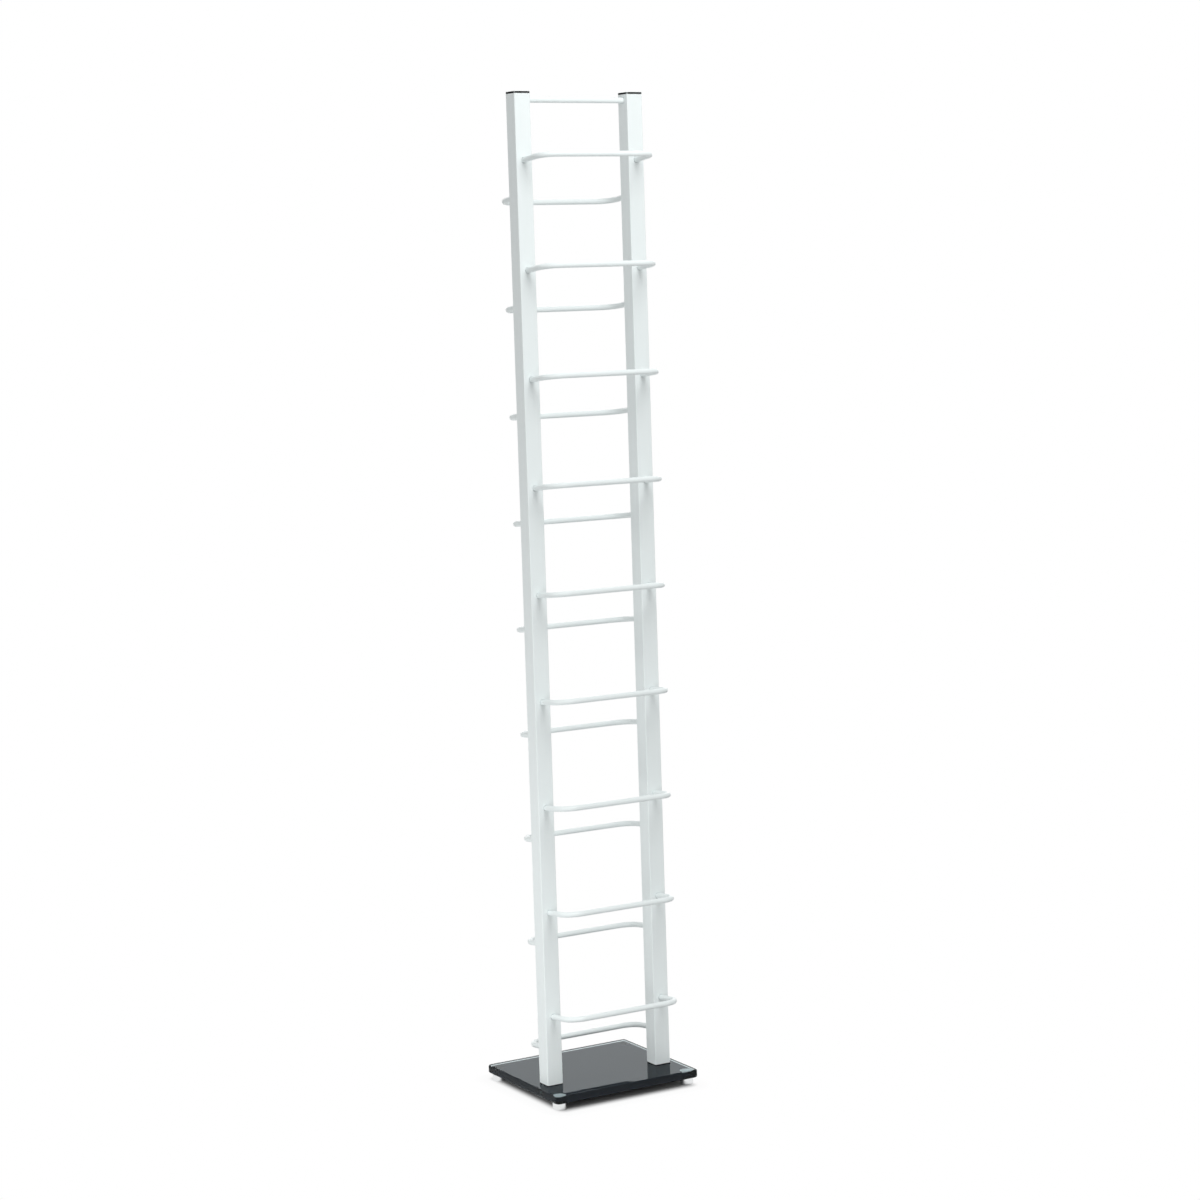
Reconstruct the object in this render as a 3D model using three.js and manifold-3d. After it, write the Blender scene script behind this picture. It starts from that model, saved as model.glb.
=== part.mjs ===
// Free-standing tower for disc cases: two square posts stand on a glass plate, and nine wire loops
// on their front faces and nine on their rear faces carry the stacks of cases.
// Millimetres, +Z up, front towards -Y. The origin is on the floor, under the middle of the outline.

import * as THREE from 'three';
import { mergeVertices } from 'three/addons/utils/BufferGeometryUtils.js';
import Module from 'manifold-3d';

const wasm = await Module();
wasm.setup();

// Glass plate
const glassWidth = 238;
const glassDepth = 210;
const glassThickness = 12;
const glassCornerRadius = 6;
const glassEdgeRound = 2.5;

// Posts
const postSide = 25;
const postWall = 1.5;
const postCornerRadius = 2;
const postLength = 1410;
const postSpacing = 182;
const postSetback = 66;

// Wire loops
const rodDiameter = 8;
const tiers = 9;
const rearLoopHeight = 50.5;
const frontLoopRise = 50.5;
const topLoopDrop = 91.6;
const loopReach = 53.5;
const loopBendRadius = 23;
const loopTilt = THREE.MathUtils.degToRad(5.8);
const loopSeatDepth = 8;

// Crossbar
const crossbarDrop = 8.2;

// Top caps
const capThickness = 3;
const capEdgeRound = 0.8;
const capPlugLength = 16;
const capPlugWall = 1.6;
const capRibs = 3;
const capRibHeight = 1.2;
const capRibDepth = 1;

// Feet
const footDiameter = 20;
const footHeight = 10.5;
const footEdgeRound = 0.6;
const footSideInset = 12;
const footEndInset = 15;
const padDiameter = 15;
const padThickness = 1.5;
const padProud = 0.5;
const bondDiameter = 19;
const bondThickness = 0.5;

// Post fastening: gasket, threaded plug, screw and washers
const gasketThickness = 1;
const plugHeight = 20;
const screwDiameter = 8;
const screwHeadDiameter = 14;
const screwHeadHeight = 4.4;
const screwHeadRound = 1.2;
const screwEngagement = 16;
const socketAcrossFlats = 5;
const socketDepth = 2.5;
const washerDiameter = 22;
const washerThickness = 1.6;
const softWasherDiameter = 24;
const softWasherThickness = 1.2;

// Clearances
const fitGap = 0.3;
const seatGap = 0.1;
const cutOverrun = 5;

// Facets
const rodSides = 12;
const bendSteps = 6;
const cornerSteps = 4;
const plugCornerSteps = 2;
const plateCornerSteps = 6;
const plateRoundSteps = 3;
const capRoundSteps = 2;
const footSides = 24;
const screwSides = 16;

// Levels, from the floor up
const glassBottom = footHeight;
const glassTop = glassBottom + glassThickness;
const postBottom = glassTop + gasketThickness;
const postTop = postBottom + postLength;

// Loop heights: the rear loops stand above the glass, the front loops above them, and the tiers
// share out what is left below the highest front loop
const lowestRearLoop = glassTop + rearLoopHeight;
const lowestFrontLoop = lowestRearLoop + frontLoopRise;
const tierPitch = (postTop - topLoopDrop - lowestFrontLoop) / (tiers - 1);

// Places that several pieces share
const postX = postSpacing / 2;
const postInnerSide = postSide - 2 * postWall;
const postInnerRadius = Math.max(postCornerRadius - postWall, fitGap);
const rodRadius = rodDiameter / 2;
const glassCentreY = glassDepth / 2 - postSetback;
const crossbarZ = postTop - crossbarDrop;
const loopFrontY = postSide / 2 + loopReach * Math.cos(loopTilt) + rodRadius;
const frontReach = Math.max(postSetback, loopFrontY);
const backReach = Math.max(glassDepth - postSetback, loopFrontY);

const tower = new THREE.Group();

// Helpers for solids

function toSolid(geometry) {
  const bare = geometry.clone();
  bare.deleteAttribute('normal');
  bare.deleteAttribute('uv');
  const merged = mergeVertices(bare);
  const vertProperties = new Float32Array(merged.attributes.position.array);
  const triVerts = new Uint32Array(merged.index.array);
  return new wasm.Manifold(new wasm.Mesh({ numProp: 3, vertProperties, triVerts }));
}

function toGeometry(solid) {
  const mesh = solid.getMesh();
  const geometry = new THREE.BufferGeometry();
  geometry.setAttribute('position', new THREE.BufferAttribute(mesh.vertProperties, 3));
  geometry.setIndex(new THREE.BufferAttribute(mesh.triVerts, 1));
  return geometry;
}

function cut(geometry, cutters) {
  let solid = toSolid(geometry);
  for (const cutter of cutters) {
    solid = solid.subtract(toSolid(cutter));
  }
  return toGeometry(solid);
}

function join(geometries) {
  let solid = toSolid(geometries[0]);
  for (const geometry of geometries.slice(1)) {
    solid = solid.add(toSolid(geometry));
  }
  return toGeometry(solid);
}

function addPiece(name, geometry, finish, x = 0, y = 0, z = 0) {
  const mesh = new THREE.Mesh(geometry, new THREE.MeshStandardMaterial(finish));
  mesh.name = name;
  mesh.position.set(x, y, z);
  tower.add(mesh);
  return mesh;
}

// Finishes

const whitePaint = { color: 0xeef1f0, roughness: 0.38, metalness: 0 };
const darkGlass = { color: 0x14181a, roughness: 0.05, metalness: 0 };
const blackPlastic = { color: 0x26292a, roughness: 0.5, metalness: 0 };
const blackRubber = { color: 0x1b1c1d, roughness: 0.8, metalness: 0 };
const brightMetal = { color: 0xe4e6e8, roughness: 0.18, metalness: 1 };
const zincSteel = { color: 0xb4b7ba, roughness: 0.4, metalness: 1 };
const bondPad = { color: 0xb9c2bd, roughness: 0.5, metalness: 0 };
const softPad = { color: 0xd9dad8, roughness: 0.9, metalness: 0 };

// Outlines

function roundedOutline(path, width, depth, radius) {
  const x = width / 2;
  const y = depth / 2;
  path.moveTo(x, -y + radius);
  path.lineTo(x, y - radius);
  path.absarc(x - radius, y - radius, radius, 0, Math.PI / 2, false);
  path.lineTo(-x + radius, y);
  path.absarc(-x + radius, y - radius, radius, Math.PI / 2, Math.PI, false);
  path.lineTo(-x, -y + radius);
  path.absarc(-x + radius, -y + radius, radius, Math.PI, 1.5 * Math.PI, false);
  path.lineTo(x - radius, -y);
  path.absarc(x - radius, -y + radius, radius, 1.5 * Math.PI, 2 * Math.PI, false);
  return path;
}

function extrudeUp(shape, height, steps) {
  return new THREE.ExtrudeGeometry(shape, { depth: height, bevelEnabled: false, curveSegments: steps });
}

function roundOutline(path, radius, sides) {
  return path.setFromPoints(Array.from({ length: sides }, (_, i) => {
    const angle = 2 * Math.PI * i / sides;
    return new THREE.Vector2(radius * Math.cos(angle), radius * Math.sin(angle));
  }));
}

// An upright extrusion whose top and bottom edges are rounded inside the outline.
function roundedPlate(shape, height, edgeRound, roundSteps, steps) {
  const geometry = new THREE.ExtrudeGeometry(shape, {
    depth: height - 2 * edgeRound,
    bevelEnabled: true,
    bevelThickness: edgeRound,
    bevelSize: edgeRound,
    bevelOffset: -edgeRound,
    bevelSegments: roundSteps,
    curveSegments: steps,
  });
  geometry.translate(0, 0, edgeRound);
  return geometry;
}

// A round piece from its half outline, a list of [radius, height] pairs that starts and ends on the axis.
function turned(outline, sides) {
  const points = outline.map(([radius, height]) => new THREE.Vector2(radius, height));
  const geometry = new THREE.LatheGeometry(points, sides);
  geometry.rotateX(Math.PI / 2);
  return geometry;
}

function uprightCylinder(radius, low, high, sides) {
  const geometry = new THREE.CylinderGeometry(radius, radius, high - low, sides);
  geometry.rotateX(Math.PI / 2);
  geometry.translate(0, 0, (low + high) / 2);
  return geometry;
}

function ring(outerDiameter, holeDiameter, thickness) {
  const shape = roundOutline(new THREE.Shape(), outerDiameter / 2, screwSides);
  shape.holes.push(roundOutline(new THREE.Path(), holeDiameter / 2, screwSides));
  return extrudeUp(shape, thickness, 1);
}

// Bent rod: straight runs between corners, with a round bend at each inner corner.
// Its cross-sections stand only at the ends and along the bends.

class BentRodPath extends THREE.Curve {
  constructor(corners, bendRadius, steps) {
    super();
    this.stations = [{ point: corners[0], tangent: directionBetween(corners[0], corners[1]) }];
    for (let i = 1; i < corners.length - 1; i += 1) {
      this.addBend(corners[i - 1], corners[i], corners[i + 1], bendRadius, steps);
    }
    const last = corners.length - 1;
    this.stations.push({ point: corners[last], tangent: directionBetween(corners[last - 1], corners[last]) });
  }

  addBend(before, corner, after, radius, steps) {
    const into = directionBetween(before, corner);
    const out = directionBetween(corner, after);
    const angle = into.angleTo(out);
    const start = corner.clone().addScaledVector(into, -radius * Math.tan(angle / 2));
    const sideways = out.clone().addScaledVector(into, -out.dot(into)).normalize();
    for (let i = 0; i <= steps; i += 1) {
      const turn = angle * i / steps;
      const point = start.clone();
      point.addScaledVector(into, radius * Math.sin(turn));
      point.addScaledVector(sideways, radius * (1 - Math.cos(turn)));
      const tangent = into.clone().multiplyScalar(Math.cos(turn));
      tangent.addScaledVector(sideways, Math.sin(turn));
      this.stations.push({ point, tangent });
    }
  }

  stationAt(share) {
    return this.stations[Math.round(share * (this.stations.length - 1))];
  }

  getPointAt(share) {
    return this.stationAt(share).point.clone();
  }

  getTangentAt(share) {
    return this.stationAt(share).tangent.clone();
  }
}

function directionBetween(from, to) {
  return to.clone().sub(from).normalize();
}

function rodAlong(corners, bendRadius, diameter) {
  const path = new BentRodPath(corners, bendRadius, bendSteps);
  const section = roundOutline(new THREE.Shape(), diameter / 2, rodSides);
  return new THREE.ExtrudeGeometry(section, { extrudePath: path, steps: path.stations.length - 1 });
}

// Loops. A front loop rises towards the front and a rear loop sinks towards the rear, by the same
// tilt, so all of them lean alike. Each one is made flat and turned about the post's face.

function loopHoleHeights(side) {
  const lowest = side === 'front' ? lowestFrontLoop : lowestRearLoop;
  return Array.from({ length: tiers }, (_, tier) => lowest + tier * tierPitch);
}

function sideSign(side) {
  return side === 'front' ? -1 : 1;
}

function loopGeometry(side) {
  const outward = sideSign(side);
  const corners = [
    new THREE.Vector3(-postX, -outward * loopSeatDepth, 0),
    new THREE.Vector3(-postX, outward * loopReach, 0),
    new THREE.Vector3(postX, outward * loopReach, 0),
    new THREE.Vector3(postX, -outward * loopSeatDepth, 0),
  ];
  return rodAlong(corners, loopBendRadius, rodDiameter);
}

function addLoops(side) {
  loopHoleHeights(side).forEach((height, tier) => {
    const name = `${side}_loop_${tier + 1}`;
    const loop = addPiece(name, loopGeometry(side), whitePaint, 0, sideSign(side) * postSide / 2, height);
    loop.rotation.x = -loopTilt;
  });
}

function loopHoleCutter(side, height) {
  const halfLength = postWall + cutOverrun;
  const cutter = new THREE.CylinderGeometry(
    rodRadius + fitGap, rodRadius + fitGap, 2 * halfLength, rodSides);
  cutter.rotateX(-loopTilt);
  cutter.translate(0, sideSign(side) * postSide / 2, height - postBottom);
  return cutter;
}

// Posts: square tubes with a hole for each rod that ends in them

function postGeometry(inward) {
  const section = roundedOutline(new THREE.Shape(), postSide, postSide, postCornerRadius);
  section.holes.push(roundedOutline(new THREE.Path(), postInnerSide, postInnerSide, postInnerRadius));
  const tube = extrudeUp(section, postLength, cornerSteps / 2);
  const cutters = [];
  for (const side of ['front', 'rear']) {
    for (const height of loopHoleHeights(side)) {
      cutters.push(loopHoleCutter(side, height));
    }
  }
  const crossbarHole = new THREE.CylinderGeometry(
    rodRadius + fitGap, rodRadius + fitGap, 2 * (postWall + fitGap), rodSides);
  crossbarHole.rotateZ(Math.PI / 2);
  crossbarHole.translate(inward * (postSide / 2 - postWall / 2), 0, crossbarZ - postBottom);
  cutters.push(crossbarHole);
  return cut(tube, cutters);
}

// Crossbar: its ends lie in the posts' inner walls

function crossbarGeometry() {
  const halfLength = postX - postSide / 2 + postWall;
  const geometry = new THREE.CylinderGeometry(rodRadius, rodRadius, 2 * halfLength, rodSides);
  geometry.rotateZ(Math.PI / 2);
  return geometry;
}

// Top caps: a flange as wide as the post over a hollow ribbed plug

function capGeometry() {
  const flangeShape = roundedOutline(new THREE.Shape(), postSide, postSide, postCornerRadius);
  const flange = roundedPlate(flangeShape, capThickness, capEdgeRound, capRoundSteps, cornerSteps / 2);
  const ribSide = postInnerSide - 2 * fitGap;
  const coreSide = ribSide - 2 * capRibDepth;
  const hollowSide = coreSide - 2 * capPlugWall;
  const buried = capThickness / 2;
  const coreShape = roundedOutline(new THREE.Shape(), coreSide, coreSide, capRibDepth);
  coreShape.holes.push(roundedOutline(new THREE.Path(), hollowSide, hollowSide, capRibDepth / 2));
  const core = extrudeUp(coreShape, capPlugLength + buried, plugCornerSteps / 2);
  core.translate(0, 0, -capPlugLength);
  const pieces = [flange, core];
  for (let i = 0; i < capRibs; i += 1) {
    const ribShape = roundedOutline(new THREE.Shape(), ribSide, ribSide, capRibDepth);
    ribShape.holes.push(roundedOutline(
      new THREE.Path(), coreSide - capPlugWall, coreSide - capPlugWall, capRibDepth));
    const rib = extrudeUp(ribShape, capRibHeight, plugCornerSteps / 2);
    rib.translate(0, 0, -capPlugLength * (i + 1) / (capRibs + 1) - capRibHeight);
    pieces.push(rib);
  }
  return join(pieces);
}

// Glass plate with two drilled holes for the screws

function glassGeometry() {
  const outline = roundedOutline(new THREE.Shape(), glassWidth, glassDepth, glassCornerRadius);
  const plate = roundedPlate(
    outline, glassThickness, glassEdgeRound, plateRoundSteps, plateCornerSteps / 2);
  const holes = [-postX, postX].map((x) => {
    const hole = uprightCylinder(screwHoleRadius(), -cutOverrun, glassThickness + cutOverrun, screwSides);
    hole.translate(x, -glassCentreY, 0);
    return hole;
  });
  return cut(plate, holes);
}

function screwHoleRadius() {
  return screwDiameter / 2 + fitGap;
}

// Gasket, plug, screw and washers that hold a post on the glass

function gasketGeometry() {
  const shape = roundedOutline(new THREE.Shape(), postSide, postSide, postCornerRadius);
  shape.holes.push(roundOutline(new THREE.Path(), screwHoleRadius(), screwSides));
  return extrudeUp(shape, gasketThickness - 2 * seatGap, cornerSteps / 2);
}

function threadedPlugGeometry() {
  const side = postInnerSide - 2 * fitGap;
  const shape = roundedOutline(new THREE.Shape(), side, side, postInnerRadius);
  shape.holes.push(roundOutline(new THREE.Path(), screwHoleRadius(), screwSides));
  return extrudeUp(shape, plugHeight, plugCornerSteps / 2);
}

// The screw's head is below its origin and its shank above it.
function screwGeometry() {
  const headRadius = screwHeadDiameter / 2;
  const shankRadius = screwDiameter / 2;
  const shankLength = washerThickness + softWasherThickness + glassThickness + gasketThickness
    + screwEngagement;
  const body = turned([
    [0, -screwHeadHeight],
    [headRadius - screwHeadRound, -screwHeadHeight],
    [headRadius, -screwHeadHeight + screwHeadRound],
    [headRadius, 0],
    [shankRadius, 0],
    [shankRadius, shankLength - screwHeadRound],
    [shankRadius - screwHeadRound, shankLength],
    [0, shankLength],
  ], screwSides);
  const socketRadius = socketAcrossFlats / Math.sqrt(3);
  const socket = uprightCylinder(
    socketRadius, -screwHeadHeight - cutOverrun, -screwHeadHeight + socketDepth, 6);
  return cut(body, [socket]);
}

function addPostFastening(name, x) {
  const softWasherTop = glassBottom - seatGap;
  const washerTop = softWasherTop - softWasherThickness;
  const headTop = washerTop - washerThickness;
  const holeDiameter = 2 * screwHoleRadius();
  const softWasher = ring(softWasherDiameter, holeDiameter, softWasherThickness - seatGap);
  const washer = ring(washerDiameter, holeDiameter, washerThickness - seatGap);
  addPiece(`${name}_post_gasket`, gasketGeometry(), blackRubber, x, 0, glassTop + seatGap);
  addPiece(`${name}_threaded_plug`, threadedPlugGeometry(), zincSteel, x, 0, postBottom + seatGap);
  addPiece(`${name}_soft_washer`, softWasher, blackRubber, x, 0, softWasherTop - softWasherThickness + seatGap);
  addPiece(`${name}_washer`, washer, zincSteel, x, 0, washerTop - washerThickness + seatGap);
  addPiece(`${name}_base_screw`, screwGeometry(), zincSteel, x, 0, headTop);
}

// Feet: a turned metal body, a soft pad let into its underside and a pad that bonds it to the glass

function footGeometry() {
  const radius = footDiameter / 2;
  const recessRadius = padDiameter / 2 + fitGap;
  const bottom = padProud;
  const top = footHeight - bondThickness - seatGap;
  const recessTop = padThickness + seatGap;
  return turned([
    [0, recessTop],
    [recessRadius, recessTop],
    [recessRadius, bottom],
    [radius - footEdgeRound, bottom],
    [radius, bottom + footEdgeRound],
    [radius, top - footEdgeRound],
    [radius - footEdgeRound, top],
    [0, top],
  ], footSides);
}

function addFoot(name, x, y) {
  const pad = uprightCylinder(padDiameter / 2, 0, padThickness, footSides);
  const bond = uprightCylinder(bondDiameter / 2, footHeight - bondThickness, footHeight - seatGap, footSides);
  addPiece(`${name}_foot`, footGeometry(), brightMetal, x, y);
  addPiece(`${name}_foot_pad`, pad, softPad, x, y);
  addPiece(`${name}_foot_bond`, bond, bondPad, x, y);
}

// Assembly

addPiece('glass_base', glassGeometry(), darkGlass, 0, glassCentreY, glassBottom);

for (const [name, sign] of [['left', -1], ['right', 1]]) {
  addPiece(`${name}_post`, postGeometry(-sign), whitePaint, sign * postX, 0, postBottom);
  addPiece(`${name}_top_cap`, capGeometry(), blackPlastic, sign * postX, 0, postTop + seatGap);
  addPostFastening(name, sign * postX);
}

addPiece('top_crossbar', crossbarGeometry(), whitePaint, 0, 0, crossbarZ);
addLoops('front');
addLoops('rear');

const footX = glassWidth / 2 - footSideInset;
const footFrontY = glassCentreY - glassDepth / 2 + footEndInset;
const footRearY = glassCentreY + glassDepth / 2 - footEndInset;
addFoot('front_left', -footX, footFrontY);
addFoot('front_right', footX, footFrontY);
addFoot('rear_left', -footX, footRearY);
addFoot('rear_right', footX, footRearY);

tower.position.y = (frontReach - backReach) / 2;

export default tower;
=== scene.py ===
"""Free-standing tower for disc cases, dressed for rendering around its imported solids.

Finer surfaces stand in for the faceted solids, every surface gets its finish, and the tower stands
in a plain white studio. Metres, +Z up, front towards -Y, origin on the floor under the middle.
"""

import math
from collections import namedtuple

import bmesh
import bpy
import numpy as np
from mathutils import Matrix, Vector


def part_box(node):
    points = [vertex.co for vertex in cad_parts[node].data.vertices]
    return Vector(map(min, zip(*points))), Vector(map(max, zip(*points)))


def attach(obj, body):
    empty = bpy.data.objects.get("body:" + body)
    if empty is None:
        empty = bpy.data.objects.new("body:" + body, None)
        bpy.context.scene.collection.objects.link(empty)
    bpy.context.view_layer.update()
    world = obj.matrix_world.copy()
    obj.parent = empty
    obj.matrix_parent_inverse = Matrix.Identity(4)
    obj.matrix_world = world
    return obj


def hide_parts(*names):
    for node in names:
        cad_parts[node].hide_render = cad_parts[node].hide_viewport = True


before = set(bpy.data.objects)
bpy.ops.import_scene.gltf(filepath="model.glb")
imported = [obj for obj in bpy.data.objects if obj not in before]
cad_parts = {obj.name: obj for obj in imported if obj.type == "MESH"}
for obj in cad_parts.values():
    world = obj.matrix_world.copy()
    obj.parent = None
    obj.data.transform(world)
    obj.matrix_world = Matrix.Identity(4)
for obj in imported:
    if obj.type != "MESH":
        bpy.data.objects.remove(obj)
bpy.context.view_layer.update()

MM = 0.001
UP = np.array([0, 0, 1.0])

# A solid's lowest and highest corner, its middle, half its width, and the floor under its middle
Box = namedtuple("Box", "low high middle radius floor")


def box_of(node):
    low, high = (np.array(corner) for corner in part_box(node))
    middle = (low + high) / 2
    return Box(low, high, middle, (high[0] - low[0]) / 2, middle * (1, 1, 0))


def to_micrometre(size):
    """A size without the last digits that the frame's single precision adds."""
    return round(float(size), 6)


# Sizes and places that the frame gives
POST = box_of("right_post")
CROSSBAR = box_of("top_crossbar")
PLATE = box_of("glass_base")
POST_X, POST_Y, _ = POST.middle
POST_SIDE = to_micrometre(2 * POST.radius)
ROD_RADIUS = to_micrometre((CROSSBAR.high[1] - CROSSBAR.low[1]) / 2)
TIERS = sum(name.startswith("front_loop_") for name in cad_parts)

# Places of the pieces that come in twos and fours, as in the solids' names
SIDES = ("left", "right")
FOOT_PLACES = ("front_left", "front_right", "rear_left", "rear_right")

# Posts
POST_WALL = 1.5 * MM
POST_CORNER = 1.2 * MM
POST_FLAT = POST_SIDE / 2 - POST_CORNER

# Wire loops and crossbar
ROD_PLAY = 0.3 * MM
HOLE_RADIUS = ROD_RADIUS + ROD_PLAY
HOLE_LIP = 0.3 * MM
LOOP_REACH = 53.5 * MM
LOOP_BEND = 23 * MM
LOOP_TILT = math.radians(5.8)
LOOP_SEAT = 8 * MM

# Glass plate. The black backing is drawn up to BACKING_DEPTH inside the glass.
GLASS_CORNER = 6 * MM
GLASS_EDGE = 2.5 * MM
SCREW_HOLE = 4.3 * MM
BACKING_DEPTH = 0.01 * MM

# Top caps
CAP_HEIGHT = 3 * MM
CAP_EDGE = 0.4 * MM
CAP_UNDER_EDGE = 0.15 * MM
CAP_RIB_INSET = 1.8 * MM
CAP_CORE_INSET = 2.8 * MM
CAP_PLUG = 16 * MM
CAP_RIB = 1.2 * MM
CAP_RIBS = 3

# Feet. The front bonds reach up past the backing, so they show through the glass.
FOOT_EDGE = 0.6 * MM
PAD_RECESS = 7.8 * MM
PAD_RECESS_EDGE = 0.2 * MM
PAD_EDGE = 0.4 * MM
PAD_PLAY = 0.1 * MM
BOND_SINK = 0.02 * MM

# Washers and screws
WASHER_EDGE = 0.25 * MM
HEAD_HEIGHT = 4.4 * MM
HEAD_EDGE = 1.2 * MM
HEAD_TOP_EDGE = 0.2 * MM
SHANK_RADIUS = 4 * MM
SHANK_TIP_EDGE = 1.2 * MM
SOCKET_RADIUS = 2.9 * MM
SOCKET_DEPTH = 2.5 * MM

# Grids. A corner that is drawn in keeps a radius of LEAST_CORNER, and a tube's levels are rounded
# to LEVEL_DIGITS decimals, so that levels of two holes at one height are one.
ROD_SIDES = 32
BEND_STEPS = 16
CORNER_STEPS = 8
PATCH_STEPS = 10
PATCH_RINGS = (0, 0.4, 0.75, 1)
LIP_STEPS = 3
PLATE_CORNER_STEPS = 16
EDGE_STEPS = 8
TURNED_SIDES = 72
LEAST_CORNER = 0.25 * MM
LEVEL_DIGITS = 9
SHARP = math.radians(40)

# Points closer than WELD become one. The offset keeps round sizes off the border of two cells.
WELD = 0.001 * MM
WELD_OFFSET = 0.137

# Glass. It mirrors a share of what its index of refraction gives, and at most MIRROR_LIMIT.
GLASS_IOR = 1.5
MIRROR_SHARE = 0.4
MIRROR_LIMIT = 0.17
GLASS_TINT = (0.0, 0.14, 0.2, 1)
GLASS_DENSITY = 26.0

# Adhesive, whose index of refraction is given against that of the glass
ADHESIVE_IOR = 0.95

# Studio. FLOOR_FADE has stages of a nearer and a farther distance, and the share of plain white
# that comes in between them. The distance starts at SHADOW_INSET inside the plate's border.
AMBIENT = 0.5
FLOOR_REACH = 40.0
FLOOR_GREY = 0.55
FLOOR_FADE = ((0, 18 * MM, 0.95), (18 * MM, 40 * MM, 0.05))
SHADOW_INSET = (16 * MM, 7 * MM)

# Camera
CAMERA_TURN = math.radians(-30.329)
CAMERA_RISE = math.radians(6.373)
CAMERA_ROLL = math.radians(-1.803)
CAMERA_PLACE = (-1.9978, -3.4790, 1.1620)
CAMERA_LENS = 83.79
CAMERA_SENSOR = 36


# Meshes


def add_object(name, data):
    """A new object in the scene."""
    made = bpy.data.objects.new(name, data)
    bpy.context.scene.collection.objects.link(made)
    return made


def weld(points, cells):
    """Points at one place become one point, and the cells follow. A cell with one corner equal to
    the corner before it comes back as a triangle, and one with more is left out."""
    keys = np.round(points / WELD + WELD_OFFSET).astype(np.int64)
    _, first, owner = np.unique(keys, axis=0, return_index=True, return_inverse=True)
    cells = owner.reshape(-1)[cells]
    same = cells == np.roll(cells, 1, axis=1)
    repeats = same.sum(axis=1)
    triangles = cells[repeats == 1][~same[repeats == 1]].reshape(-1, 3)
    return points[first], cells[repeats == 0].tolist() + triangles.tolist()


def grid_of(rows, around=True, looped=False):
    """An array of rows by columns by 3 with its cells, each the numbers of four points. around
    joins the last column to the first, and looped the last row to the first."""
    count, columns = rows.shape[:2]
    row, column = np.meshgrid(
        np.arange(count if looped else count - 1),
        np.arange(columns if around else columns - 1),
        indexing="ij",
    )
    next_row = (row + 1) % count
    next_column = (column + 1) % columns
    corners = ((row, column), (row, next_column), (next_row, next_column), (next_row, column))
    return rows, np.stack([r * columns + c for r, c in corners], -1).reshape(-1, 4)


def piece(name, grids, finish, slot, *nodes):
    """A named piece of one or more grids. It stands for the solids named in nodes."""
    points = np.concatenate([rows.reshape(-1, 3) for rows, _ in grids])
    starts = np.cumsum([0] + [rows.size // 3 for rows, _ in grids[:-1]])
    cells = np.concatenate([cells + start for (_, cells), start in zip(grids, starts)])
    points, faces = weld(points, cells)
    mesh = bpy.data.meshes.new(name)
    mesh.from_pydata(points.tolist(), [], faces)
    work = bmesh.new()
    work.from_mesh(mesh)
    bmesh.ops.recalc_face_normals(work, faces=work.faces)
    work.to_mesh(mesh)
    work.free()
    mesh.shade_smooth()
    mesh.set_sharp_from_angle(angle=SHARP)
    mesh.materials.append(finish)
    made = add_object(name, mesh)
    even = made.modifiers.new("Even normals", "WEIGHTED_NORMAL")
    even.keep_sharp = True
    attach(made, "root")
    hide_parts(*nodes)


# Outlines and profiles


def quarter_turn(steps):
    """Angles from 0 to 90 degrees."""
    return np.linspace(0, math.pi / 2, steps + 1)


def full_turn(steps):
    """Angles once around, without the last, which is the first again."""
    return np.linspace(0, 2 * math.pi, steps, endpoint=False)


def unit(rows):
    """Each row divided by its own length."""
    return rows / np.linalg.norm(rows, axis=-1, keepdims=True)


def filleted(corners, radii):
    """A line of [across, up] corners with each inner corner rounded: an arc of its radius that
    touches both sides, worked out by turning one spoke of the arc into the other."""
    corners = np.array(corners, float)
    share = np.linspace(0, 1, EDGE_STEPS + 1)[:, None]
    line = [corners[:1]]
    radii = np.broadcast_to(radii, len(corners) - 2)
    for before, corner, after, radius in zip(corners, corners[1:], corners[2:], radii):
        if radius == 0:
            line.append(corner[None])
            continue
        into = unit(before - corner)
        out = unit(after - corner)
        half = math.acos(np.clip(into @ out, -1, 1)) / 2
        centre = corner + unit(into + out) * radius / math.sin(half)
        start = corner + into * radius / math.tan(half) - centre
        end = corner + out * radius / math.tan(half) - centre
        turn = math.pi - 2 * half
        spokes = np.sin((1 - share) * turn) * start + np.sin(share * turn) * end
        line.append(centre + spokes / math.sin(turn))
    line.append(corners[-1:])
    return np.concatenate(line)


def rounded_rectangles(half_x, half_y, corner, steps):
    """Points around rectangles with round corners, one for each row of the sizes: four quarter
    circles about the corner centres, with the middle of each side between them."""
    quarter = quarter_turn(steps)
    corners = ((1, 1), (-1, 1), (-1, -1), (1, -1))
    middles = ((0, 1), (-1, 0), (0, -1), (1, 0))
    parts = []
    for index, ((corner_x, corner_y), (middle_x, middle_y)) in enumerate(zip(corners, middles)):
        angle = quarter + index * math.pi / 2
        parts.append(np.stack([
            corner_x * (half_x - corner) + corner * np.cos(angle),
            corner_y * (half_y - corner) + corner * np.sin(angle),
        ], -1))
        parts.append(np.stack([middle_x * half_x, middle_y * half_y], -1))
    return np.concatenate(parts, axis=-2)


def moulded(half_x, half_y, corner, profile, place, steps):
    """A rounded rectangle carried up a profile of [inset, height] rows. Each row is the outline
    drawn in by its inset, with its corner radius drawn in as far, at its height."""
    inset, height = profile[:, :1], profile[:, 1:]
    across = np.maximum(half_x - inset, 0)
    along = np.maximum(half_y - inset, 0)
    radius = np.minimum(np.maximum(corner - inset, LEAST_CORNER), np.minimum(across, along))
    outline = rounded_rectangles(across, along, radius, steps)
    up = np.broadcast_to(height[..., None], outline.shape[:2] + (1,))
    return grid_of(np.concatenate([outline, up], -1) + place)


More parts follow.
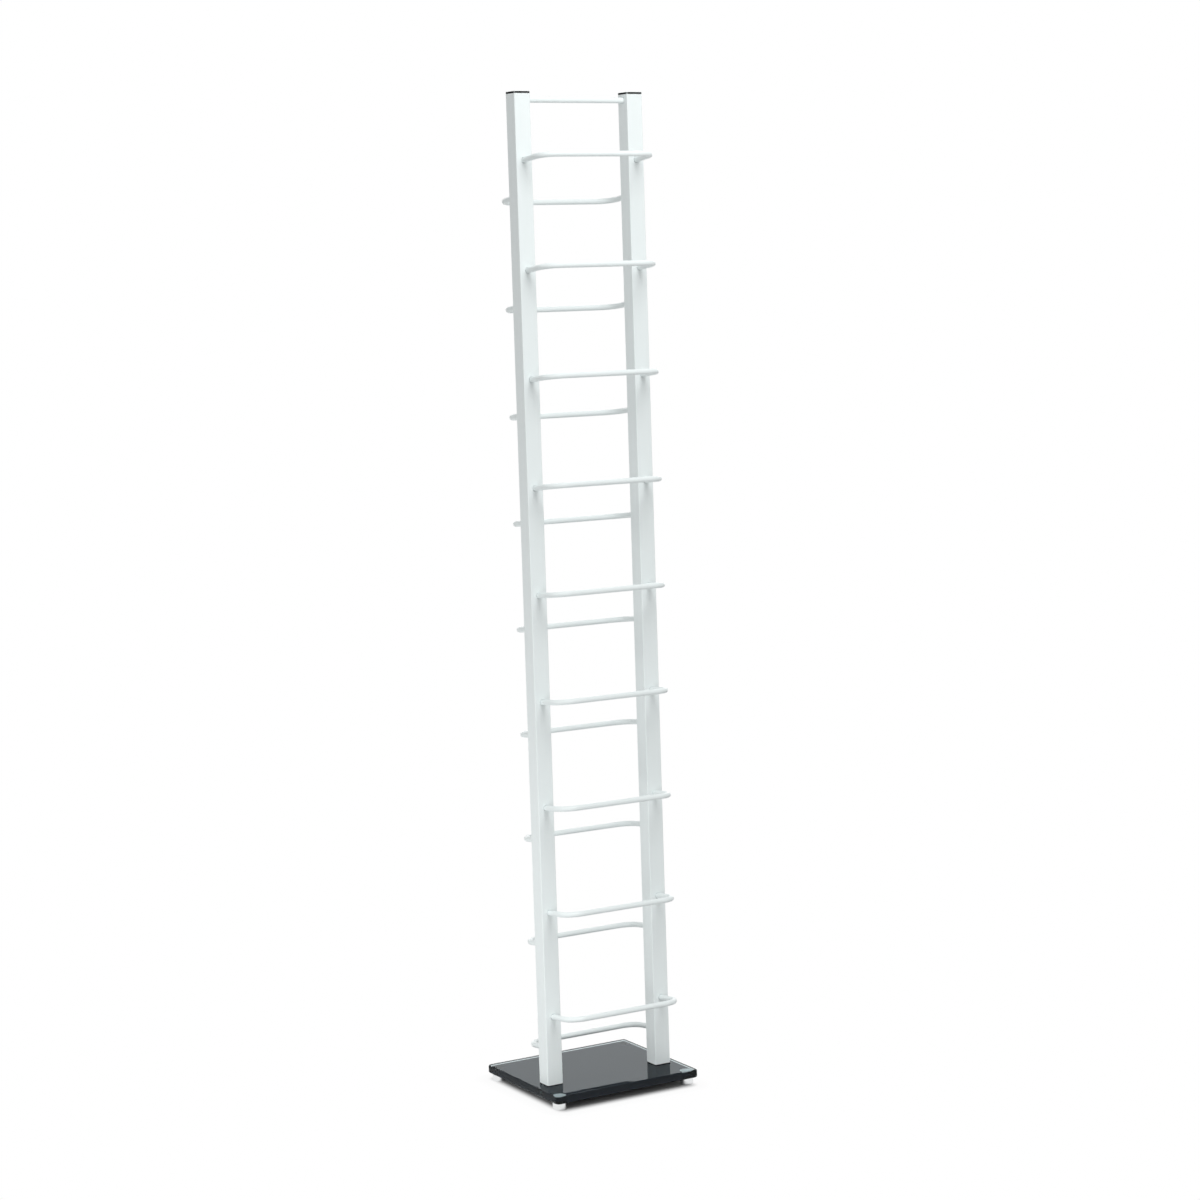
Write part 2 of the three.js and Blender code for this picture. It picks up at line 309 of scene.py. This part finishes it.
def turned(profile, place, looped=False):
    """A profile of [radius, height] rows turned about the upright axis through place: across is
    radius times cosine and sine of the angle, up is the height."""
    angle = full_turn(TURNED_SIDES)
    radius, height = profile[:, :1], profile[:, 1:]
    rows = [radius * np.cos(angle), radius * np.sin(angle), height + 0 * angle]
    return grid_of(np.stack(rows, -1) + place, looped=looped)


# Rods


def swept(centres, sideways, upwards):
    """A round rod: at each centre a circle of the rod's radius in the plane of its sideways and
    upwards directions, with the middle of each end as a pole."""
    angle = full_turn(ROD_SIDES)[None, :, None]
    spokes = np.cos(angle) * sideways[:, None] + np.sin(angle) * upwards
    rings = centres[:, None] + ROD_RADIUS * spokes
    start = np.broadcast_to(centres[0], rings[:1].shape)
    end = np.broadcast_to(centres[-1], rings[:1].shape)
    return grid_of(np.concatenate([start, rings, end]))


def loop_rod(half_width, outward, upwards, pivot):
    """A rod bent to a U: two legs out of the posts, two quarter bends and a front run. Each station
    is a bend's centre plus the bend radius at an angle from 180 degrees down to 0, and the legs'
    ends slide along the leg from there."""
    quarter = quarter_turn(BEND_STEPS)
    angle = np.concatenate([[math.pi], math.pi - quarter, math.pi / 2 - quarter, [0]])
    side = np.where(np.arange(len(angle)) <= BEND_STEPS + 1, -1, 1)
    slide = np.zeros(len(angle))
    slide[[0, -1]] = LOOP_REACH - LOOP_BEND + LOOP_SEAT
    across = side * (half_width - LOOP_BEND) + LOOP_BEND * np.cos(angle)
    out = LOOP_REACH - LOOP_BEND + LOOP_BEND * np.sin(angle) - slide
    width = np.array([1.0, 0, 0])
    centres = pivot + across[:, None] * width + out[:, None] * outward
    sideways = np.cos(angle)[:, None] * width + np.sin(angle)[:, None] * outward
    return swept(centres, sideways, upwards)


def straight_rod(start, end):
    """A straight rod between two points that lie along X."""
    sideways = np.broadcast_to([0, 1.0, 0], (2, 3))
    return swept(np.stack([start, end]), sideways, UP)


# Posts

# Each wall's direction out of the tube and the direction across it, towards the next wall
WALLS = {
    "right": (np.array([1.0, 0, 0]), np.array([0, 1.0, 0])),
    "rear": (np.array([0, 1.0, 0]), np.array([-1.0, 0, 0])),
    "left": (np.array([-1.0, 0, 0]), np.array([0, -1.0, 0])),
    "front": (np.array([0, -1.0, 0]), np.array([1.0, 0, 0])),
}

# A hole for a rod's end: its wall, its height at the outer skin, and how far the rod goes down for
# each metre that it goes in
Hole = namedtuple("Hole", "wall height fall")


def wall_point(distance, outward, along, across, height):
    """Points of a wall: a distance out from the tube's axis, across the wall and up."""
    return distance * outward + across[..., None] * along + height[..., None] * UP


def flat_wall(distance, levels, wall, holes):
    """A flat wall on a grid of levels, left open in a square around each of its holes."""
    steps = PATCH_STEPS if holes else 1
    across, height = np.meshgrid(np.linspace(-POST_FLAT, POST_FLAT, steps + 1), levels)
    rows, cells = grid_of(wall_point(distance, *WALLS[wall], across, height), around=False)
    middle = np.repeat((levels[:-1] + levels[1:]) / 2, steps)
    for hole in holes:
        clear = np.abs(middle - hole.height) > POST_FLAT
        cells, middle = cells[clear], middle[clear]
    return rows, cells


def round_corner(distance, wall):
    """The round corner that follows a wall: the corner's centre plus its radius at the angles from
    this wall's direction to the next one's."""
    outward, along = WALLS[wall]
    angle = quarter_turn(CORNER_STEPS)[:, None]
    spoke = np.cos(angle) * outward + np.sin(angle) * along
    return POST_FLAT * (outward + along) + (distance - POST_FLAT) * spoke


def patch_border():
    """Points around a square of half width 1, from its lower right corner."""
    run = np.linspace(-1, 1, PATCH_STEPS, endpoint=False)
    one = np.ones(PATCH_STEPS)
    sides = ((one, run), (-run, one), (-one, -run), (run, -one))
    return np.concatenate([np.stack(side, -1) for side in sides])


def hole_middle(hole, depth):
    """Height of a hole's middle at a depth in its wall, which follows the tilt of the rod."""
    return hole.height - hole.fall * depth


def hole_patch(distance, hole, lip):
    """The square patch of a skin around a hole: rings that go from the square's border to the
    hole's circle, as (1 - t) times border plus t times circle."""
    border = patch_border()
    share = np.array(PATCH_RINGS)[:, None, None]
    middle = np.array([0, hole_middle(hole, POST_SIDE / 2 - distance) - hole.height])
    circle = unit(border) * (HOLE_RADIUS + lip) + middle
    rings = (1 - share) * border * POST_FLAT + share * circle
    return grid_of(
        wall_point(distance, *WALLS[hole.wall], rings[..., 0], rings[..., 1] + hole.height))


def hole_bore(hole):
    """The inside of a hole: a rounded lip, a quarter circle from the outer skin into the hole, and
    then the bore down to the inner skin."""
    spoke = unit(patch_border())
    quarter = quarter_turn(LIP_STEPS)
    radius = np.append(HOLE_RADIUS + HOLE_LIP * (1 - np.sin(quarter)), HOLE_RADIUS)[:, None]
    depth = np.append(HOLE_LIP * (1 - np.cos(quarter)), POST_WALL)[:, None]
    return grid_of(wall_point(
        (POST_SIDE / 2 - depth)[..., None], *WALLS[hole.wall],
        radius * spoke[:, 0], radius * spoke[:, 1] + hole_middle(hole, depth)))


def skin(distance, levels, holes, lip):
    """One skin of the tube, at a distance from its axis: flat walls, with a patch around each hole,
    and round corners."""
    grids = []
    for wall in WALLS:
        mine = [hole for hole in holes if hole.wall == wall]
        grids.append(flat_wall(distance, levels, wall, mine))
        grids += [hole_patch(distance, hole, lip) for hole in mine]
        corner = round_corner(distance, wall) + levels[:, None, None] * UP
        grids.append(grid_of(corner, around=False))
    return grids


def end_face(level, holed):
    """The ring between the two skins at one end of the tube, with the columns of their walls."""
    grids = []
    skins = (POST_SIDE / 2 - POST_WALL, POST_SIDE / 2)
    for wall, (outward, along) in WALLS.items():
        steps = PATCH_STEPS if wall in holed else 1
        run = np.linspace(-POST_FLAT, POST_FLAT, steps + 1)[:, None] * along
        flat = np.stack([distance * outward + run for distance in skins])
        corner = np.stack([round_corner(distance, wall) for distance in skins])
        grids += [grid_of(rows + level * UP, around=False) for rows in (flat, corner)]
    return grids


def tube_grids(length, holes, place):
    """A square tube with round corners and holes in its walls: outer skin, inner skin, the bores
    that join them, and the two end faces. Its levels are those of its ends and hole patches. Known
    fault: the patch of a hole less than POST_FLAT from an end runs past that end, and so do the
    skins, as they do above the crossbar's hole."""
    patch = np.linspace(-POST_FLAT, POST_FLAT, PATCH_STEPS + 1)
    levels = np.concatenate([[0, length]] + [hole.height + patch for hole in holes])
    levels = np.unique(np.round(levels, LEVEL_DIGITS))
    grids = skin(POST_SIDE / 2, levels, holes, HOLE_LIP)
    grids += skin(POST_SIDE / 2 - POST_WALL, levels, holes, 0)
    grids += [hole_bore(hole) for hole in holes]
    for level in (0, length):
        grids += end_face(level, {hole.wall for hole in holes})
    return [(rows + place, cells) for rows, cells in grids]


# Node trees


class Wire:
    """An output of a node. Sums and products of it add Math nodes."""

    def __init__(self, tree, socket):
        self.tree = tree
        self.socket = socket

    def out(self, name):
        """Another output of the same node."""
        return Wire(self.tree, self.socket.node.outputs[name])

    def __add__(self, other):
        return self.tree.maths("ADD", self, other)

    def __mul__(self, other):
        return self.tree.maths("MULTIPLY", self, other)

    __radd__ = __add__
    __rmul__ = __mul__


class Tree:
    """The node tree of a material or of the world."""

    def __init__(self, owner):
        owner.use_nodes = True
        self.owner = owner
        self.nodes = owner.node_tree.nodes
        self.links = owner.node_tree.links
        self.nodes.clear()

    def node(self, kind, settings, sockets, output=0):
        """A node of one kind. Its settings are set first, then its sockets get values or wires."""
        made = self.nodes.new(kind)
        for name, value in settings.items():
            setattr(made, name, value)
        for name, value in sockets.items():
            if isinstance(value, Wire):
                self.links.new(value.socket, made.inputs[name])
            else:
                made.inputs[name].default_value = value
        return Wire(self, made.outputs[output]) if made.outputs else None

    def maths(self, operation, first, second):
        return self.node("ShaderNodeMath", {"operation": operation}, {0: first, 1: second})

    def vector(self, operation, sockets, output="Vector"):
        return self.node("ShaderNodeVectorMath", {"operation": operation}, sockets, output)

    def place(self):
        """The place on the object, in metres."""
        return self.node("ShaderNodeTexCoord", {}, {}, "Object")

    def noise(self, place, scale, detail=2.0, rough=0.5):
        """Soft noise from 0 to 1, with its scale in waves to the metre."""
        return self.node("ShaderNodeTexNoise", {}, {
            "Vector": place, "Scale": scale, "Detail": detail, "Roughness": rough,
        })

    def blend(self, factor, first, second):
        """One colour at factor 0 and another at factor 1."""
        sockets = {0: factor, 6: first, 7: second}
        return self.node("ShaderNodeMix", {"data_type": "RGBA"}, sockets, 2)

    def bump(self, height, strength, distance):
        return self.node("ShaderNodeBump", {}, {
            "Height": height, "Strength": strength, "Distance": distance,
        })

    def either(self, factor, first, second):
        """One shader at factor 0 and another at factor 1."""
        return self.node("ShaderNodeMixShader", {}, {0: factor, 1: first, 2: second})

    def seen(self):
        """1 for rays that show the studio itself: camera, glossy and transmission rays."""
        path = self.node("ShaderNodeLightPath", {}, {}, "Is Camera Ray")
        rays = path + path.out("Is Glossy Ray") + path.out("Is Transmission Ray")
        return self.maths("MINIMUM", rays, 1.0)

    def principled(self, **sockets):
        """A Principled shader. Socket names have _ for a space."""
        return self.node("ShaderNodeBsdfPrincipled", {}, {
            name.replace("_", " "): value for name, value in sockets.items()
        })

    def finished(self, surface, **sockets):
        """Ends a material with its surface, and gives the material back."""
        self.node("ShaderNodeOutputMaterial", {}, {"Surface": surface, **sockets})
        return self.owner


def finish_named(name):
    """The empty tree of a new material."""
    return Tree(bpy.data.materials.new(name))


def grey(level):
    """A colour of one level."""
    return (level, level, level, 1)


# Finishes. All but the glass have a darker and a lighter tone, and noise drifts between them.


def white_powder_coat():
    """White powder coat: a fine orange peel, with a faint drift of tone and gloss."""
    tree = finish_named("white powder coat")
    place = tree.place()
    peel = tree.noise(place, scale=850, detail=2.5, rough=0.55)
    drift = tree.noise(place, scale=9, detail=3, rough=0.6)
    darker = (0.82, 0.88, 0.878, 1)
    lighter = (0.85, 0.905, 0.905, 1)
    return tree.finished(tree.principled(
        Base_Color=tree.blend(drift, darker, lighter),
        Roughness=0.3 + 0.1 * drift + 0.06 * peel,
        Normal=tree.bump(peel, strength=0.35, distance=0.03 * MM),
    ))


def dark_polished_glass():
    """Dark glass: polished, tinted through its depth, and backed with black on its flat underside.
    It mirrors more at a low angle."""
    tree = finish_named("dark polished glass")
    place = tree.place()
    wipe = tree.noise(place, scale=14, detail=4, rough=0.6)
    body = tree.node("ShaderNodeBsdfRefraction", {}, {
        "Color": (0.95, 0.985, 0.98, 1), "Roughness": 0.0, "IOR": GLASS_IOR,
    })
    gloss = tree.node("ShaderNodeBsdfAnisotropic", {}, {
        "Color": (0.92, 0.98, 1.0, 1),
        "Roughness": 0.005 + 0.02 * wipe,
        "Normal": tree.bump(wipe, strength=0.02, distance=0.05 * MM),
    })
    mirror = tree.node("ShaderNodeFresnel", {}, {"IOR": GLASS_IOR})
    share = tree.maths("MINIMUM", MIRROR_SHARE * mirror, MIRROR_LIMIT)
    backing = tree.node("ShaderNodeBsdfDiffuse", {}, {"Color": (0.016, 0.021, 0.034, 1)})
    level = tree.node("ShaderNodeSeparateXYZ", {}, {"Vector": place}, "Z")
    under = tree.maths("LESS_THAN", level, PLATE.low[2] + BACKING_DEPTH)
    depth = tree.node("ShaderNodeVolumeAbsorption", {}, {
        "Color": GLASS_TINT, "Density": GLASS_DENSITY,
    })
    clear = tree.either(share, body, gloss)
    return tree.finished(tree.either(under, clear, backing), Volume=depth)


def black_moulded_plastic():
    """Black moulded plastic with a fine spark-eroded grain."""
    tree = finish_named("black moulded plastic")
    place = tree.place()
    grain = tree.noise(place, scale=2600, detail=3, rough=0.6)
    cloud = tree.noise(place, scale=60)
    darker = (0.013, 0.016, 0.016, 1)
    lighter = (0.02, 0.024, 0.024, 1)
    return tree.finished(tree.principled(
        Base_Color=tree.blend(cloud, darker, lighter),
        Roughness=0.42 + 0.14 * grain,
        Specular_IOR_Level=0.22,
        Normal=tree.bump(grain, strength=0.4, distance=0.03 * MM),
    ))


def black_soft_rubber():
    """Black rubber, matte and slightly dusty."""
    tree = finish_named("black soft rubber")
    grain = tree.noise(tree.place(), scale=1900, detail=3, rough=0.65)
    darker = (0.012, 0.012, 0.013, 1)
    lighter = (0.024, 0.024, 0.024, 1)
    return tree.finished(tree.principled(
        Base_Color=tree.blend(grain, darker, lighter),
        Roughness=0.75 + 0.15 * grain,
        Normal=tree.bump(grain, strength=0.5, distance=0.04 * MM),
    ))


def bright_turned_metal():
    """Bright metal with the faint level lines of a lathe, so fine that they only soften the gloss.
    The lines are noise squeezed in height."""
    tree = finish_named("bright turned metal")
    place = tree.place()
    squeezed = tree.node("ShaderNodeMapping", {}, {"Vector": place, "Scale": (40, 40, 5200)})
    lines = tree.noise(squeezed, scale=1, rough=0.6)
    cloud = tree.noise(place, scale=130, detail=3)
    darker = (0.77, 0.785, 0.79, 1)
    lighter = (0.83, 0.84, 0.845, 1)
    return tree.finished(tree.principled(
        Base_Color=tree.blend(cloud, darker, lighter),
        Metallic=1.0,
        Roughness=0.12 + 0.12 * lines,
        Normal=tree.bump(lines, strength=0.15, distance=0.01 * MM),
    ))


def zinc_plated_steel():
    """Bright zinc plating with a faint mottle."""
    tree = finish_named("zinc plated steel")
    mottle = tree.noise(tree.place(), scale=420, detail=4, rough=0.6)
    darker = (0.46, 0.47, 0.48, 1)
    lighter = (0.66, 0.67, 0.68, 1)
    return tree.finished(tree.principled(
        Base_Color=tree.blend(mottle, darker, lighter),
        Metallic=1.0,
        Roughness=0.28 + 0.2 * mottle,
        Normal=tree.bump(mottle, strength=0.2, distance=0.02 * MM),
    ))


def cured_adhesive():
    """Pale grey adhesive between foot and glass. It bends light a little less than glass
    does, so at a low angle the joint mirrors the dark inside of the plate."""
    tree = finish_named("cured adhesive")
    cloud = tree.noise(tree.place(), scale=320, detail=3)
    darker = (0.84, 0.86, 0.87, 1)
    lighter = (0.9, 0.92, 0.93, 1)
    pale = tree.principled(
        Base_Color=tree.blend(cloud, darker, lighter),
        Roughness=0.45 + 0.15 * cloud,
    )
    gloss = tree.node("ShaderNodeBsdfAnisotropic", {}, {"Color": grey(0.9), "Roughness": 0.03})
    mirror = tree.node("ShaderNodeFresnel", {}, {"IOR": ADHESIVE_IOR})
    return tree.finished(tree.either(mirror, pale, gloss))


def pale_soft_pad():
    """Pale soft plastic under the feet."""
    tree = finish_named("pale soft pad")
    grain = tree.noise(tree.place(), scale=1300)
    darker = (0.64, 0.65, 0.63, 1)
    lighter = (0.74, 0.75, 0.73, 1)
    return tree.finished(tree.principled(
        Base_Color=tree.blend(grain, darker, lighter),
        Roughness=0.5 + 0.2 * grain,
        Normal=tree.bump(grain, strength=0.25, distance=0.03 * MM),
    ))


PAINT = white_powder_coat()
GLASS = dark_polished_glass()
PLASTIC = black_moulded_plastic()
RUBBER = black_soft_rubber()
BRIGHT = bright_turned_metal()
ZINC = zinc_plated_steel()
ADHESIVE = cured_adhesive()
SOFT_PAD = pale_soft_pad()


# Pieces


def loop_height(side, tier):
    """Height at which a loop's rod crosses the post's face, from the box of its solid."""
    box = box_of(f"{side}_loop_{tier}")
    rise = LOOP_REACH * math.sin(LOOP_TILT) + ROD_RADIUS
    return box.high[2] - rise if side == "front" else box.low[2] + rise


def build_posts():
    """Square tubes with a hole for every rod end: the crossbar's on the inner wall, and one for
    each loop on the front and rear walls."""
    for name, inner in zip(SIDES, reversed(SIDES)):
        box = box_of(f"{name}_post")
        foot = box.low[2]
        holes = [Hole(inner, CROSSBAR.middle[2] - foot, 0.0)]
        for side, fall in (("front", math.tan(LOOP_TILT)), ("rear", -math.tan(LOOP_TILT))):
            for tier in range(1, TIERS + 1):
                holes.append(Hole(side, loop_height(side, tier) - foot, fall))
        grids = tube_grids(box.high[2] - foot, holes, box.floor + foot * UP)
        piece(f"{name}_post_tube", grids, PAINT, "white_paint", f"{name}_post")


def build_loops():
    """Front loops rise away from the posts, and rear loops fall."""
    upwards = np.array([0, math.sin(LOOP_TILT), math.cos(LOOP_TILT)])
    for side, sign in (("front", -1.0), ("rear", 1.0)):
        outward = np.array([0, sign * math.cos(LOOP_TILT), -sign * math.sin(LOOP_TILT)])
        for tier in range(1, TIERS + 1):
            node = f"{side}_loop_{tier}"
            pivot = np.array([0, POST_Y + sign * POST_SIDE / 2, loop_height(side, tier)])
            rod = loop_rod(POST_X, outward, upwards, pivot)
            piece(f"{node}_rod", [rod], PAINT, "white_paint", node)


def build_crossbar():
    """A straight rod between the inner walls of the posts."""
    half = np.array([CROSSBAR.radius, 0, 0])
    rod = straight_rod(CROSSBAR.middle - half, CROSSBAR.middle + half)
    piece("top_crossbar_rod", [rod], PAINT, "white_paint", "top_crossbar")


def cap_profile():
    """[inset, height] rows from the middle of the top over the flange and down the ribbed plug."""
    middle = POST_SIDE / 2
    spacing = CAP_PLUG / (CAP_RIBS + 1)
    corners = [[middle, CAP_HEIGHT], [0, CAP_HEIGHT], [0, 0], [CAP_CORE_INSET, 0]]
    for rib in range(1, CAP_RIBS + 1):
        top = -rib * spacing
        corners += [
            [CAP_CORE_INSET, top],
            [CAP_RIB_INSET, top],
            [CAP_RIB_INSET, top - CAP_RIB],
            [CAP_CORE_INSET, top - CAP_RIB],
        ]
    corners += [[CAP_CORE_INSET, -CAP_PLUG], [middle, -CAP_PLUG]]
    square = [0] * (len(corners) - 4)
    return filleted(corners, [CAP_EDGE, CAP_UNDER_EDGE] + square)


def build_caps():
    """Moulded caps whose flange covers the post's end and whose plug sits inside it."""
    half = POST_SIDE / 2
    for name in SIDES:
        box = box_of(f"{name}_top_cap")
        place = box.floor + (box.high[2] - CAP_HEIGHT) * UP
        cap = moulded(half, half, POST_CORNER, cap_profile(), place, CORNER_STEPS)
        piece(f"{name}_cap_moulding", [cap], PLASTIC, "black_plastic", f"{name}_top_cap")


def flat_half(outline, side, height, hole):
    """Half of the plate's flat face, on one side of its middle line: straight spokes run from its
    border to the screw hole in that half. The border takes in a point of the middle line."""
    mine = outline[outline[:, 0] * side >= -WELD]
    border = np.concatenate([mine, [[0.0, hole[1]]]])
    across, along = (border - hole).T
    border = border[np.argsort(np.arctan2(along, across))]
    rim = hole + SCREW_HOLE * unit(border - hole)
    rows = np.stack([border, rim])
    up = np.full(rows.shape[:2] + (1,), height)
    return np.concatenate([rows, up], -1)


def build_glass():
    """The plate: a rounded rim, and two flat faces with the bores of two screw holes. The rim's
    profile leaves out the ends of its line, where its two arcs start and end as well."""
    half_x, half_y, thickness = (PLATE.high - PLATE.low) * (0.5, 0.5, 1)
    corners = [[GLASS_EDGE, 0], [0, 0], [0, thickness], [GLASS_EDGE, thickness]]
    profile = filleted(corners, GLASS_EDGE)[1:-1]
    place = np.array([0, PLATE.middle[1], PLATE.low[2]])
    rim, cells = moulded(half_x, half_y, GLASS_CORNER, profile, place, PLATE_CORNER_STEPS)
    outline = rim[0, :, :2] - place[:2]
    grids = [(rim, cells)]
    for side in (-1, 1):
        hole = np.array([side * POST_X, POST_Y - PLATE.middle[1]])
        bottom = flat_half(outline, side, 0, hole) + place
        top = flat_half(outline, side, thickness, hole) + place
        bore = np.stack([bottom[1], top[1]])
        grids += [grid_of(rows) for rows in (bottom, top, bore)]
    piece("glass_plate", grids, GLASS, "dark_glass", "glass_base")


def build_feet():
    """Turned feet, each with a soft glide let into its underside and bonded to the glass."""
    for name in FOOT_PLACES:
        foot = box_of(f"{name}_foot")
        pad = box_of(f"{name}_foot_pad")
        bond = box_of(f"{name}_foot_bond")
        recess = pad.high[2] + PAD_PLAY
        barrel = filleted(
            [[0, recess], [PAD_RECESS, recess], [PAD_RECESS, foot.low[2]],
             [foot.radius, foot.low[2]], [foot.radius, foot.high[2]], [0, foot.high[2]]],
            [0, PAD_RECESS_EDGE, FOOT_EDGE, FOOT_EDGE])
        glide = filleted(
            [[0, pad.low[2]], [pad.radius, pad.low[2]],
             [pad.radius, pad.high[2]], [0, pad.high[2]]],
            PAD_EDGE)
        top = PLATE.low[2] + (BOND_SINK if name.startswith("front") else 0)
        adhesive = np.array([
            [0, foot.high[2]], [bond.radius, foot.high[2]], [bond.radius, top], [0, top]])
        for kind, profile, finish, slot, node in (
            ("barrel", barrel, BRIGHT, "bright_metal", "foot"),
            ("glide", glide, SOFT_PAD, "soft_pad", "foot_pad"),
            ("adhesive", adhesive, ADHESIVE, "bond_pad", "foot_bond"),
        ):
            shape = turned(profile, foot.floor)
            piece(f"{name}_foot_{kind}", [shape], finish, slot, f"{name}_{node}")


def build_washer(node, finish, slot):
    """A flat ring with rounded edges. Its profile starts in the middle of the underside."""
    box = box_of(node)
    low, high = box.low[2], box.high[2]
    start = [(box.radius + SCREW_HOLE) / 2, low]
    outside = [[box.radius, low], [box.radius, high]]
    inside = [[SCREW_HOLE, high], [SCREW_HOLE, low]]
    profile = filleted([start, *outside, *inside, start], WASHER_EDGE)[:-1]
    piece(f"{node}_ring", [turned(profile, box.floor, looped=True)], finish, slot, node)


def hex_socket(rim, low, place):
    """A six-sided socket from its round rim upwards: two rows of a hexagon, and its floor's middle
    as a pole. The hexagon is the corner radius times the cosine of half a sixth of a turn over the
    cosine of the angle from the nearest flat's middle."""
    angle = full_turn(TURNED_SIDES)
    sixth = math.pi / 3
    reach = math.cos(sixth / 2) / np.cos((angle + sixth / 2) % sixth - sixth / 2)
    hexagon = SOCKET_RADIUS * reach * np.array([np.cos(angle), np.sin(angle), 0 * angle])
    mouth = hexagon.T + place + low * UP
    floor = np.broadcast_to(place + (low + SOCKET_DEPTH) * UP, mouth.shape)
    return grid_of(np.stack([rim, mouth, mouth + SOCKET_DEPTH * UP, floor]))


def build_screw(node):
    """A turned screw: the head's underside, its side and top, and the shank up to its tip."""
    box = box_of(node)
    low, high = box.low[2], box.high[2]
    head_top = low + HEAD_HEIGHT
    profile = filleted(
        [[SOCKET_RADIUS, low], [box.radius, low], [box.radius, head_top],
         [SHANK_RADIUS, head_top], [SHANK_RADIUS, high], [0, high]],
        [HEAD_EDGE, HEAD_TOP_EDGE, 0, SHANK_TIP_EDGE])
    outside = turned(profile, box.floor)
    socket = hex_socket(outside[0][0], low, box.floor)
    piece(f"{node}_turned", [outside, socket], ZINC, "zinc_steel", node)


def build_fastenings():
    """Under the glass, below each post: a soft washer, a steel washer and a screw."""
    for name in SIDES:
        build_washer(f"{name}_soft_washer", RUBBER, "black_rubber")
        build_washer(f"{name}_washer", ZINC, "zinc_steel")
        build_screw(f"{name}_base_screw")


def dress_hidden_solids():
    """Solids that keep their shape get their finish."""
    for kind, finish in (("post_gasket", RUBBER), ("threaded_plug", ZINC)):
        for name in SIDES:
            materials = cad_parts[f"{name}_{kind}"].data.materials
            materials.clear()
            materials.append(finish)


# Studio


def build_world():
    """Plain white for rays that show the studio, and dimmer light on the object."""
    tree = Tree(bpy.data.worlds.new("white studio"))
    bpy.context.scene.world = tree.owner
    light = tree.node("ShaderNodeBackground", {}, {
        "Color": grey(1.0), "Strength": AMBIENT + (1 - AMBIENT) * tree.seen(),
    })
    tree.node("ShaderNodeOutputWorld", {}, {"Surface": light})


def white_floor():
    """Seen rays see the floor's lit colour under the plate, and ever more of plain white with the
    distance from the plate, so that the floor fades into the backdrop and keeps the shadow. The
    distance is the length of how far x and y lie outside the plate's half sizes."""
    tree = finish_named("white floor")
    half = (PLATE.high - PLATE.low) / 2
    border = (half[0] - SHADOW_INSET[0], half[1] - SHADOW_INSET[1], 0)
    from_middle = tree.vector("SUBTRACT", {0: tree.place(), 1: (0, PLATE.middle[1], 0)})
    across = tree.vector("ABSOLUTE", {0: from_middle})
    beyond = tree.vector("SUBTRACT", {0: across, 1: border})
    outside = tree.vector("MAXIMUM", {0: beyond, 1: (0, 0, 0)})
    distance = tree.vector("LENGTH", {0: outside}, "Value")
    fade = 0
    for near, far, share in FLOOR_FADE:
        step = tree.node("ShaderNodeMapRange", {"interpolation_type": "SMOOTHSTEP"}, {
            "Value": distance, "From Min": near, "From Max": far, "To Min": 0.0, "To Max": 1.0,
        })
        fade = fade + share * step
    lit = tree.node("ShaderNodeBsdfDiffuse", {}, {"Color": grey(FLOOR_GREY)})
    white = tree.node("ShaderNodeEmission", {}, {"Color": grey(1.0), "Strength": 1.0})
    return tree.finished(tree.either(fade * tree.seen(), lit, white))


def build_floor():
    """A wide square floor."""
    signs = ((-1, -1), (1, -1), (1, 1), (-1, 1))
    mesh = bpy.data.meshes.new("floor")
    mesh.from_pydata([(FLOOR_REACH * x, FLOOR_REACH * y, 0) for x, y in signs], [], [range(4)])
    mesh.materials.append(white_floor())
    floor = add_object("floor", mesh)


def aim(made, direction):
    """Turns a lamp so that it shines along a direction."""
    made.rotation_euler = direction.to_track_quat("-Z", "Y").to_euler()


def area_lamp(name, place, target, width, height, power):
    """A rectangular lamp that lights the object and shows in no picture or reflection."""
    lamp = bpy.data.lights.new(name, "AREA")
    lamp.shape = "RECTANGLE"
    lamp.size = width
    lamp.size_y = height
    lamp.energy = power
    made = add_object(name, lamp)
    made.location = place
    aim(made, Vector(target) - Vector(place))
    made.visible_camera = False
    made.visible_glossy = False


def broad_light(name, direction, strength, spread):
    """Even light from a broad patch of the studio, as an angle of the sky in degrees."""
    lamp = bpy.data.lights.new(name, "SUN")
    lamp.energy = strength
    lamp.angle = math.radians(spread)
    aim(add_object(name, lamp), Vector(direction))


def build_lights():
    broad_light("main light", direction=(0.06, 0.85, -1.2), strength=0.86, spread=31)
    broad_light("back light", direction=(-0.48, -0.83, -0.28), strength=0.79, spread=60)
    area_lamp("top lamp", place=(-0.04, -0.9, 1.75), target=(0, 0, 1.4),
              width=0.6, height=0.6, power=4.5)
    area_lamp("low lamp", place=(-0.9, -0.35, 0.2), target=(0, 0, 0.2),
              width=0.5, height=0.3, power=2.85)


def build_camera():
    """The camera of the picture: its turn about the tower, its height and its slight roll."""
    back = Vector((
        math.sin(CAMERA_TURN) * math.cos(CAMERA_RISE),
        -math.cos(CAMERA_TURN) * math.cos(CAMERA_RISE),
        math.sin(CAMERA_RISE),
    ))
    level = Vector((0, 0, 1)).cross(back).normalized()
    upright = back.cross(level)
    right = math.cos(CAMERA_ROLL) * level + math.sin(CAMERA_ROLL) * upright
    up = math.cos(CAMERA_ROLL) * upright - math.sin(CAMERA_ROLL) * level
    data = bpy.data.cameras.new("camera")
    data.sensor_width = CAMERA_SENSOR
    data.lens = CAMERA_LENS
    camera = add_object("camera", data)
    pose = Matrix((right, up, back)).transposed().to_4x4()
    pose.translation = Vector(CAMERA_PLACE)
    camera.matrix_world = pose
    bpy.context.scene.camera = camera


build_camera()
build_world()
build_floor()
build_lights()

build_posts()
build_loops()
build_crossbar()
build_caps()
build_glass()
build_feet()
build_fastenings()
dress_hidden_solids()

bpy.context.scene.view_settings.view_transform = "Standard"
